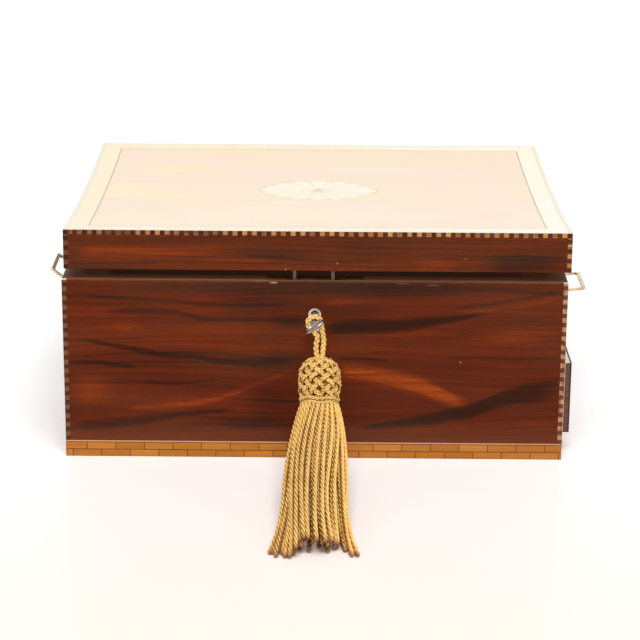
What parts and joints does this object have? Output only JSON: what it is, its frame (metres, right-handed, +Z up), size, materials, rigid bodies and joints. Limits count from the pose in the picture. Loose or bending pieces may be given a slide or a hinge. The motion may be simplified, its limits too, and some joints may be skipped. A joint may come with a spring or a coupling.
{
  "type": "inlaid box",
  "caption": "Inlaid wooden dressing box with a lid standing ajar, a side drawer, swing handles, and a lock whose key carries a gold bullion tassel.",
  "frame": {"origin": "centre of the carcase's underside, on the surface that the box stands on", "axes": "+Z up, front and keyhole towards -Y, drawer towards +X"},
  "size_m": [0.349, 0.4059, 0.1446],
  "materials": {
    "carcase_wood": "oiled mahogany-like boards",
    "figured_veneer": "polished dark red-brown figured veneer",
    "lid_veneer": "polished pinkish tan veneer",
    "boxwood_bricks": "polished golden boxwood",
    "red_line": "dark red stained lines",
    "dark_string": "stained dark blocks",
    "pale_string": "pale boxwood blocks",
    "crossbanding": "polished cream crossbanding",
    "dark_line": "brown lines",
    "sunburst_wood": "polished cream inlay",
    "lock_brass": "old brass",
    "lock_steel": "blued spring steel",
    "escutcheon_brass": "pale worn brass inlay",
    "handle_brass": "tarnished brass",
    "screw_brass": "slotted brass screws",
    "key_steel": "polished steel",
    "drawer_wood": "plain reddish wood",
    "gold_bullion": "twisted rayon bullion"
  },
  "bodies": {
    "carcase": {"front_board": "carcase_wood", "back_board": "carcase_wood", "left_end_board": "carcase_wood", "right_end_upper_board": "carcase_wood", "right_end_lower_rail": "carcase_wood", "bottom_board": "carcase_wood", "drawer_divider": "carcase_wood", "drawer_runners": "carcase_wood", "front_veneer": "figured_veneer", "back_veneer": "figured_veneer", "left_end_veneer": "figured_veneer", "right_end_veneer": "figured_veneer", "base_bricks": "boxwood_bricks", "base_brick_lines": "red_line", "corner_string_dark": "dark_string", "corner_string_light": "pale_string", "lock_case": "lock_brass", "lock_cap": "lock_brass", "lock_spring": "lock_steel", "lock_screws": "screw_brass", "escutcheon": "escutcheon_brass", "hinge_box_leaves": "handle_brass", "hinge_pins": "handle_brass", "hinge_box_screws": "screw_brass", "left_handle_posts": "handle_brass", "right_handle_posts": "handle_brass", "tassel_cord": "gold_bullion", "tassel_head": "gold_bullion", "tassel_skirt": "gold_bullion"},
    "lid": {"lid_front_rail": "carcase_wood", "lid_back_rail": "carcase_wood", "lid_left_rail": "carcase_wood", "lid_right_rail": "carcase_wood", "lid_top_board": "carcase_wood", "lid_front_veneer": "figured_veneer", "lid_back_veneer": "figured_veneer", "lid_left_veneer": "figured_veneer", "lid_right_veneer": "figured_veneer", "lid_top_veneer": "lid_veneer", "lid_crossbanding": "crossbanding", "lid_dark_inlay": "dark_line", "sunburst_petals": "sunburst_wood", "lid_string_dark": "dark_string", "lid_string_light": "pale_string", "link_plate": "lock_brass", "link_plate_screws": "screw_brass", "hinge_lid_leaves": "handle_brass", "hinge_lid_screws": "screw_brass"},
    "drawer": {"drawer_front": "drawer_wood", "drawer_front_veneer": "figured_veneer", "drawer_sides": "drawer_wood", "drawer_back": "drawer_wood", "drawer_bottom": "drawer_wood", "drawer_pull_plate": "lock_brass"},
    "lock_bolt": {"lock_bolt": "lock_brass"},
    "key": {"key": "key_steel"},
    "left_bail": {"left_bail": "handle_brass"},
    "right_bail": {"right_bail": "handle_brass"},
    "pull_ring": {"drawer_pull_ring": "lock_brass"}
  },
  "joints": [
    {"name": "lid_hinge", "type": "hinge", "parent": "carcase", "child": "lid", "pos_m": [0, 0.1282, 0.1135], "axis": [-1, 0, 0], "range_deg": [-1.5, 100]},
    {"name": "drawer_slide", "type": "slide", "parent": "carcase", "child": "drawer", "axis": [1, 0, 0], "range_m": [-0.0055, 0.19]},
    {"name": "key_turn", "type": "hinge", "parent": "carcase", "child": "key", "pos_m": [0, -0.14, 0.0928], "axis": [0, 1, 0], "range_deg": [-55, 160]},
    {"name": "bolt_slide", "type": "slide", "parent": "carcase", "child": "lock_bolt", "axis": [1, 0, 0], "range_m": [-0.00189, 0.0055]},
    {"name": "left_handle_swing", "type": "hinge", "parent": "carcase", "child": "left_bail", "pos_m": [-0.155, 0, 0.075], "axis": [0, 1, 0], "range_deg": [-127, 53]},
    {"name": "right_handle_swing", "type": "hinge", "parent": "carcase", "child": "right_bail", "pos_m": [0.155, 0, 0.075], "axis": [0, -1, 0], "range_deg": [-82, 83]},
    {"name": "pull_ring_swing", "type": "hinge", "parent": "drawer", "child": "pull_ring", "pos_m": [0.1564, 0, 0.04145], "axis": [0, -1, 0], "range_deg": [0, 90]}
  ],
  "couplings": [
    {"joint": "key_turn", "follows": "bolt_slide", "rad_per_m": 507.7}
  ]
}
